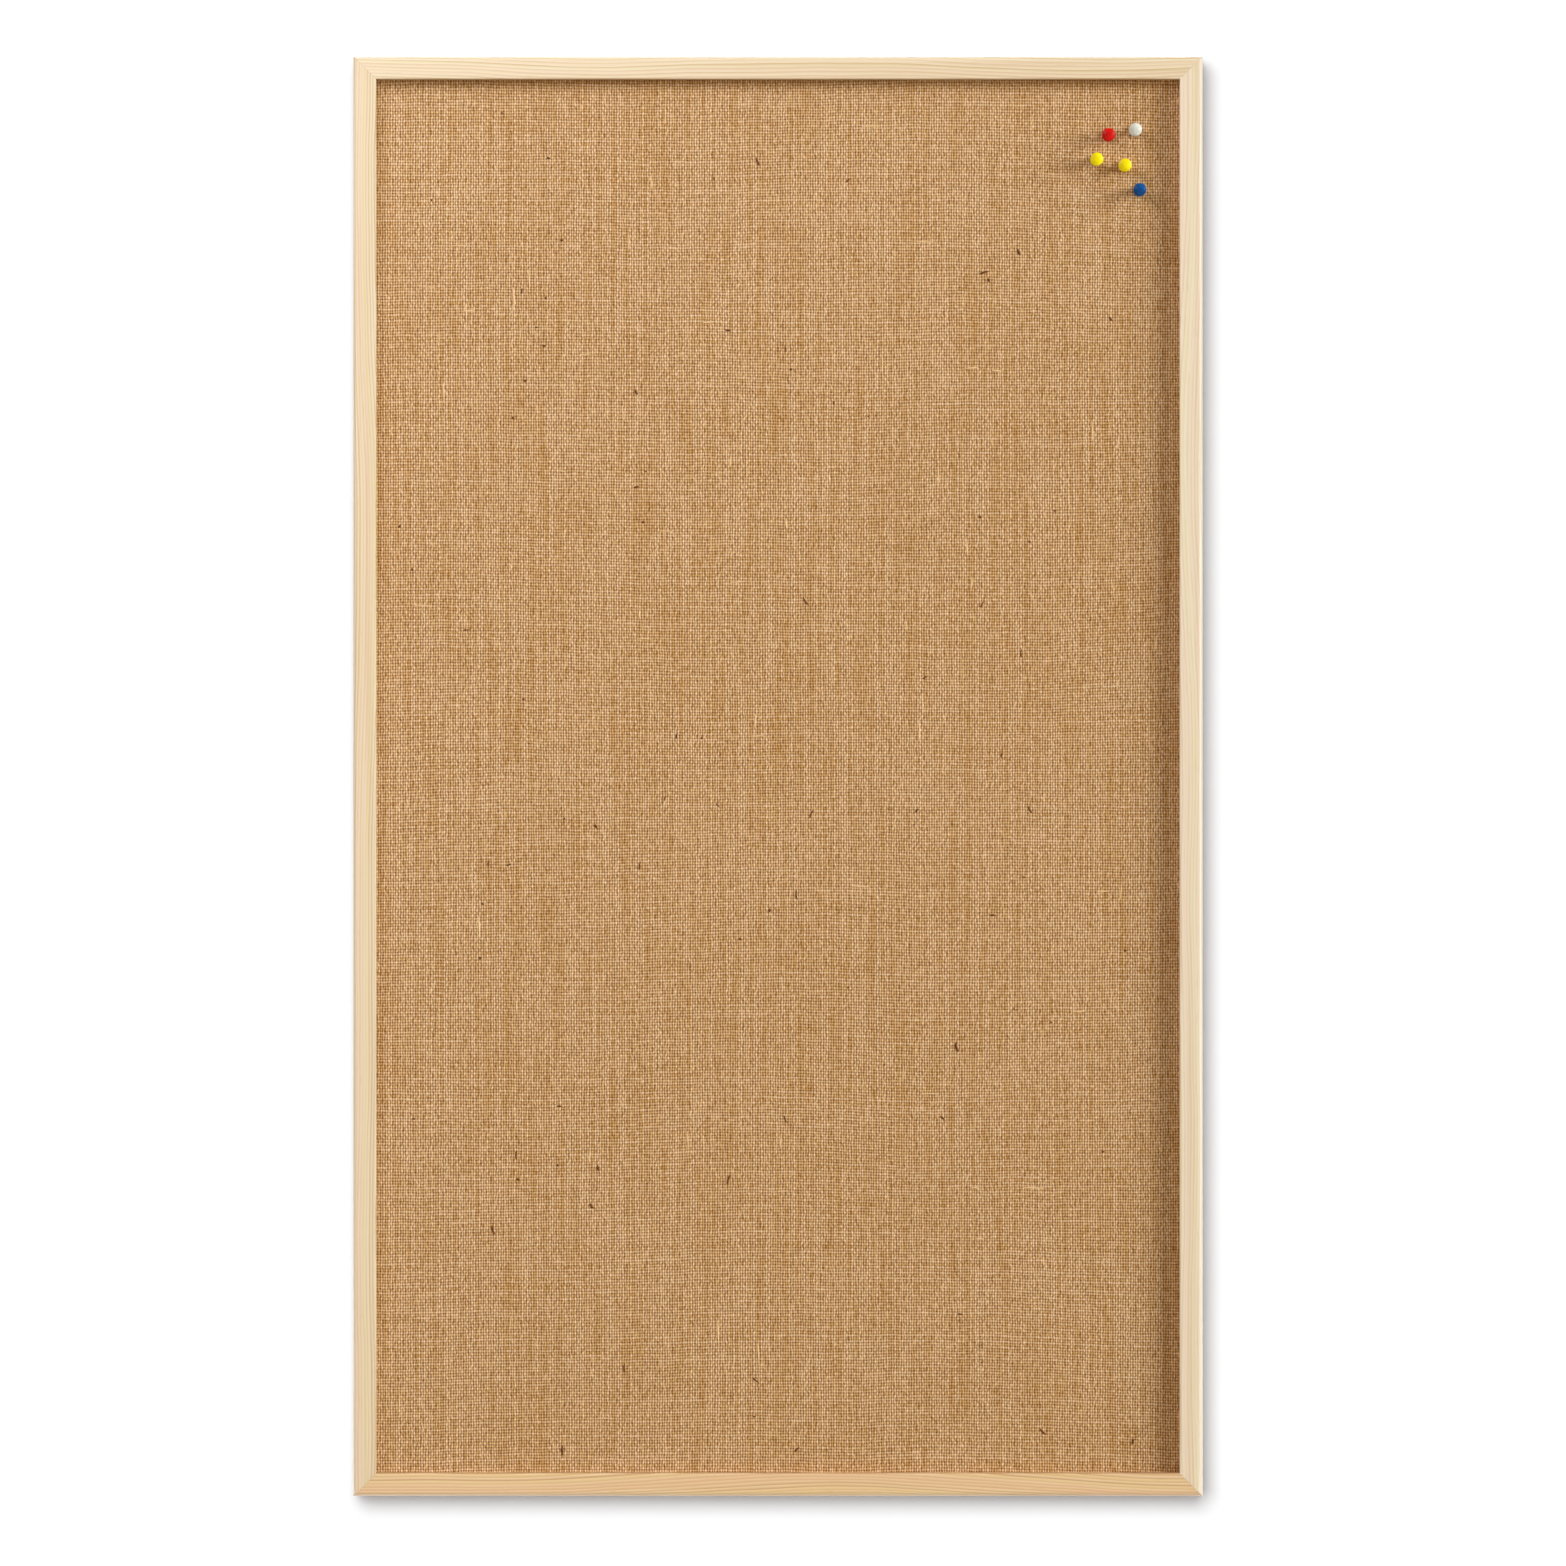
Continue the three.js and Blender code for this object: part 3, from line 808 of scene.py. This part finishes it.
def hardboardLook():
    material, look = newLook("hardboard_screen_side")
    place = look.place()
    across, depth, up = look.split(place)
    facing = look.split(look.place("Normal"))[1]
    waveX = (across * (2 * math.pi / backing["mesh"])).cosine()
    waveZ = (up * (2 * math.pi / backing["mesh"])).cosine()
    screen = (waveX.larger(waveZ) * 0.5 + 0.5) * facing.over(0.5)
    pulp = look.noise(place, 420, 4)
    patch = look.noise(place, 9, 3)
    mixed = look.smooth(pulp * 0.62 + patch * 0.2 + screen * 0.2, 0.25, 0.75)
    look.surface({
        "Base Color": look.mix(mixed, backing["dark"], backing["pale"]),
        "Roughness": 0.9 - pulp * 0.2,
        "Specular IOR Level": 0.25,
        "Normal": look.bump(screen * 0.6 + pulp * 0.5, 0.5, 0.25 * mm),
    })
    return material


def softboardLook():
    material, look = newLook("softboard_fibre")
    place = look.place()
    fibre = look.noise(place, 700, 4)
    clump = look.noise(place, 90, 2)
    look.surface({
        "Base Color": look.mix(look.smooth(fibre * 0.6 + clump * 0.4, 0.3, 0.7), shade(142, 110, 72), shade(192, 160, 118)),
        "Roughness": 0.97 - fibre * 0.08,
        "Specular IOR Level": 0.15,
        "Normal": look.bump(fibre, 0.6, 0.3 * mm),
    })
    return material


def metalLook(name, pale, dark, rough):
    material, look = newLook(name)
    place = look.place()
    cloud = look.noise(place, 350, 3)
    scratch = look.noise(place, 3200, 2)
    look.surface({
        "Base Color": look.mix(look.smooth(cloud, 0.3, 0.7), dark, pale),
        "Metallic": 1.0,
        "Roughness": cloud * 0.2 + scratch * 0.1 + rough,
        "Normal": look.bump(scratch, 0.12, 0.04 * mm),
    })
    return material


sheetSteel = metalLook("bright_sheet_steel", shade(182, 183, 185), shade(138, 140, 144), 0.24)
zincPlate = metalLook("zinc_plate", shade(200, 199, 192), shade(154, 154, 150), 0.2)
redress(["backing_board"], hardboardLook())
redress(["soft_core"], softboardLook())
redress([name for name in frame["nodes"] if name.startswith(("v_nail_", "point_"))], sheetSteel)
print("back: hardboard, points and V-nails")


# Ring hangers
hanger = {
    "strapThickness": 0.76 * mm,
    "strapTail": 13.5 * mm,
    "strapThroat": 4 * mm,
    "strapCorner": 1.6 * mm,
    "wire": 0.9 * mm,
    "play": 0.3 * mm,
    "ringWidth": 8 * mm,
    "ringHeight": 10 * mm,
    "ringCorner": 1.4 * mm,
    "ringLean": 0.8 * mm,  # how far the ring's top lies nearer the wood than its play
    "screwHead": 2.4 * mm,
    "screwHeadHeight": 1.6 * mm,
    "screwShank": 1.1 * mm,
    "recess": 1.35 * mm,
    "recessWidth": 0.5 * mm,
    "recessDepth": 0.8 * mm,
}


def hingeLine(name):
    joint = next(j for j in frame["joints"] if j["name"] == name + "_ring_swing")
    return Vector(joint["pos_m"])


def strapShape(hinge):
    thick, tail, corner = hanger["strapThickness"], hanger["strapTail"], hanger["strapCorner"]
    halfWidth = hanger["ringWidth"] / 2 - hanger["ringCorner"]
    fold = hanger["wire"] + hanger["play"] + thick / 2
    lap = -fold + thick + 0.03 * mm
    path = filleted([  # away from the wood, up
        (-fold, -tail, 0),
        (-fold, fold, fold * 0.99),
        (fold, fold, fold * 0.99),
        (fold, -0.5 * mm, 1 * mm),
        (lap, -hanger["strapThroat"], 1.2 * mm),
        (lap, -tail, 0),
    ], closed=False, steps=8)
    rounding = [corner * (1 - math.cos(k * math.pi / 12)) for k in range(7)]
    path = [Vector((-fold, -tail + step)) for step in rounding] + path[1:-1]
    path += [Vector((lap, -tail + step)) for step in reversed(rounding)]
    shape = bmesh.new()
    rings = []
    chamfer = 0.12 * mm
    for i, point in enumerate(path):
        along = (path[min(i + 1, len(path) - 1)] - path[max(i - 1, 0)]).normalized()
        across = Vector((along.y, -along.x))
        inCorner = max(0, corner - (point.y + tail))
        half = halfWidth - corner + math.sqrt(max(0, corner * corner - inCorner * inCorner))
        ring = []
        for x, n in [(-1, -1), (1, -1), (1, 1), (-1, 1)]:
            for insetX, insetN in [(0, chamfer), (chamfer, 0)] if x * n > 0 else [(chamfer, 0), (0, chamfer)]:
                side = across * n * (thick / 2 - insetN)
                ring.append(shape.verts.new(hinge + Vector((
                    x * (half - insetX), point.x + side.x, point.y + side.y))))
        rings.append(ring)
    skin(shape, rings)
    shape.faces.new(rings[0])
    shape.faces.new(reversed(rings[-1]))
    return tidy(shape)


def ringShape(hinge):
    wire, half, tall = hanger["wire"], hanger["ringWidth"] / 2, hanger["ringHeight"]
    lean = math.asin((hanger["play"] + hanger["ringLean"]) / tall)
    path = filleted([
        (-half, 0, hanger["ringCorner"]),
        (half, 0, hanger["ringCorner"]),
        (half, tall, half * 0.999),
        (-half, tall, half * 0.999),
    ], steps=14)
    shape = bmesh.new()
    rings = []
    for i, point in enumerate(path):
        along = (path[(i + 1) % len(path)] - path[i - 1]).normalized()
        ring = []
        for k in range(16):
            angle = 2 * math.pi * k / 16
            flat = point + Vector((along.y, -along.x)) * wire * math.cos(angle)
            out = wire * math.sin(angle)
            ring.append(shape.verts.new(hinge + Vector((
                flat.x,
                out * math.cos(lean) - flat.y * math.sin(lean),
                out * math.sin(lean) + flat.y * math.cos(lean)))))
        rings.append(ring)
    skin(shape, rings, closedAlong=True)
    return tidy(shape)


def screwPiece(name):
    low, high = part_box("hanger_screw_" + name)
    centre = Vector(((low.x + high.x) / 2, 0, (low.z + high.z) / 2))
    head, headBase = hanger["screwHead"], high.y - hanger["screwHeadHeight"]
    shank = hanger["screwShank"]
    profile = [(0, low.y), (shank, low.y + 3 * mm), (shank, headBase)]
    profile += [(p.x, p.y) for p in filleted([
        (shank, headBase, 0),
        (head, headBase, 0.2 * mm),
        (head, high.y, 1.1 * mm),
        (0, high.y, 0),
    ], closed=False, steps=8)[1:]]
    screw = asObject("pan_head_screw_" + name, turned(profile, 32, centre))
    cutters = []
    for wide, tall in [(hanger["recess"], hanger["recessWidth"] / 2), (hanger["recessWidth"] / 2, hanger["recess"])]:
        slot = bmesh.new()
        bmesh.ops.create_cube(slot, size=2)
        for v in slot.verts:
            deep = v.co.y < 0
            taper = 0.55 if deep else 1.1
            v.co.x *= wide * taper
            v.co.z *= tall * taper
            v.co.y = high.y - hanger["recessDepth"] if deep else high.y + 0.2 * mm
            v.co += centre
        cutters.append(asObject("slot", slot))
    carve(screw, cutters)
    return screw


for name in ["left", "right"]:
    hinge = hingeLine(name)
    strap = asObject("strap_" + name, strapShape(hinge))
    dress(strap, zincPlate, "board", "zinc", ["hanger_strap_" + name], sharp=30)
    ring = asObject("d_ring_" + name, ringShape(hinge))
    dress(ring, zincPlate, name + "_ring", "zinc", ["hanger_ring_" + name], sharp=60)
    dress(screwPiece(name), zincPlate, "board", "zinc", ["hanger_screw_" + name], sharp=30)
print("hangers: 2 straps, rings and screws")


# Stage: a wall that shows only from the front, and a floor well below the board that shows only from above
stage = {
    "reach": 6,
    "wallGap": 2 * mm,  # behind the hangers
    "wallPaint": (0.2, 0.2, 0.2, 1),
    "floorDrop": 0.3,
    "floorPaint": shade(236, 236, 236),
}


def flatSquare(name, corners):
    shape = bmesh.new()
    shape.faces.new([shape.verts.new(corner) for corner in corners])
    return asObject(name, shape)


def oneSidedPaint(name, paint, speckScale):
    material, look = newLook(name)
    speck = look.noise(look.place(), speckScale, 3)
    colour = look.mix(speck, paint, [0.98 * level for level in paint])
    painted = look.node("ShaderNodeBsdfDiffuse", {}, {"Color": colour})
    clear = look.node("ShaderNodeBsdfTransparent", {}, {})
    behind = look.node("ShaderNodeNewGeometry", {}, {}, "Backfacing")
    look.output(look.node("ShaderNodeMixShader", {}, {0: behind, 1: painted, 2: clear}))
    return material


reach = stage["reach"]
wallDepth = cadBox[1].y + stage["wallGap"]
wall = flatSquare("wall", [
    (-reach, wallDepth, -reach), (reach, wallDepth, -reach), (reach, wallDepth, reach), (-reach, wallDepth, reach)])
wall.data.materials.append(oneSidedPaint("painted_wall", stage["wallPaint"], 40))
wall.visible_shadow = False
wall.visible_diffuse = False
wall.visible_glossy = False

floorHeight = cadBox[0].z - stage["floorDrop"]
floor = flatSquare("floor", [
    (-reach, -reach, floorHeight), (reach, -reach, floorHeight), (reach, reach, floorHeight), (-reach, reach, floorHeight)])
floor.data.materials.append(oneSidedPaint("pale_floor", stage["floorPaint"], 30))
floor.visible_diffuse = False
floor.visible_shadow = False


# Light: a broad key from the right, raking over the board, and an even room round it
light = {
    "keyFrom": (0.917, -0.334, 0.218),
    "keyStrength": 4.35,
    "keyColour": (0.95, 1.045, 1.11),
    "pineKeyStrength": 2.1,  # the wood's raked sides would be too bright under the whole key
    "pineKeySpread": 1.0,
    "pineFrom": (-0.45, -1, 0.2),
    "pineStrength": 0.88,
    "pineSpread": 0.9,
    "keySpread": 0.52,
    "panelPlace": (-1.2, -1.3, 0.9),
    "panelWatts": 16,
    "panelColour": (1, 1.08, 1.3),
    "panelSize": 0.8,
    "wallFrom": (-0.16, -1, 0.24),
    "wallStrength": 15.8,
    "wallColour": (0.99, 1.0, 1.02),
    "wallSpread": 0.744,
    "backFrom": (0, 1, 0.7),
    "backStrength": 1.9,
    "backSpread": 0.6,
    "floorStrength": 2.8,
    "floorSpread": 0.8,
    "room": 0.36,
    "roomColour": (1, 0.85, 0.63, 1),
}


def newLamp(name, kind, strength, colour, towards, surfaces, state):
    data = bpy.data.lights.new(name, kind)
    data.energy = strength
    data.color = colour
    lamp = bpy.data.objects.new(name, data)
    lamp.rotation_mode = "QUATERNION"
    lamp.rotation_quaternion = Vector(towards).to_track_quat("Z", "Y")
    scene.collection.objects.link(lamp)
    group = bpy.data.collections.new(name + "_receivers")
    for surface in surfaces:
        group.objects.link(surface)
    lamp.light_linking.receiver_collection = group
    for linked in group.collection_objects:
        linked.light_linking.link_state = state
    return lamp


def sunLamp(name, towards, strength, spread, surfaces, state, colour=(1, 1, 1)):
    lamp = newLamp(name, "SUN", strength, colour, towards, surfaces, state)
    lamp.data.angle = spread


keyFrom, keySpread, keyColour = light["keyFrom"], light["keySpread"], light["keyColour"]
sunLamp("key", keyFrom, light["keyStrength"], keySpread, [wall] + pineSides, "EXCLUDE", keyColour)
sunLamp("pine_key", keyFrom, light["pineKeyStrength"], light["pineKeySpread"], pineSides, "INCLUDE", keyColour)
sunLamp("pine_front", light["pineFrom"], light["pineStrength"], light["pineSpread"], pineSides, "INCLUDE")
panelPlace = Vector(light["panelPlace"])
panel = newLamp("fill_panel", "AREA", light["panelWatts"], light["panelColour"], panelPlace - boardMiddle, [wall], "EXCLUDE")
panel.location = panelPlace
panel.data.size = light["panelSize"]
panel.visible_camera = False
sunLamp("wall_wash", light["wallFrom"], light["wallStrength"], light["wallSpread"], [wall], "INCLUDE", light["wallColour"])
sunLamp("floor_wash", (0, 0, 1), light["floorStrength"], light["floorSpread"], [floor], "INCLUDE")
sunLamp("back_fill", light["backFrom"], light["backStrength"], light["backSpread"], [wall], "EXCLUDE")
world = bpy.data.worlds.new("studio")
scene.world = world
world.use_nodes = True
room = Look(world.node_tree)
rays = room.node("ShaderNodeLightPath", {}, {}, ("Is Camera Ray", "Is Glossy Ray", "Is Transmission Ray"))
seen = rays[0].larger(rays[1]).larger(rays[2])
strength = seen * (1 - light["room"]) + light["room"]
glow = room.mix(seen, light["roomColour"], (1, 1, 1, 1))
room.output(room.node("ShaderNodeBackground", {}, {"Color": glow, "Strength": strength}), "ShaderNodeOutputWorld")
print("stage and lights")
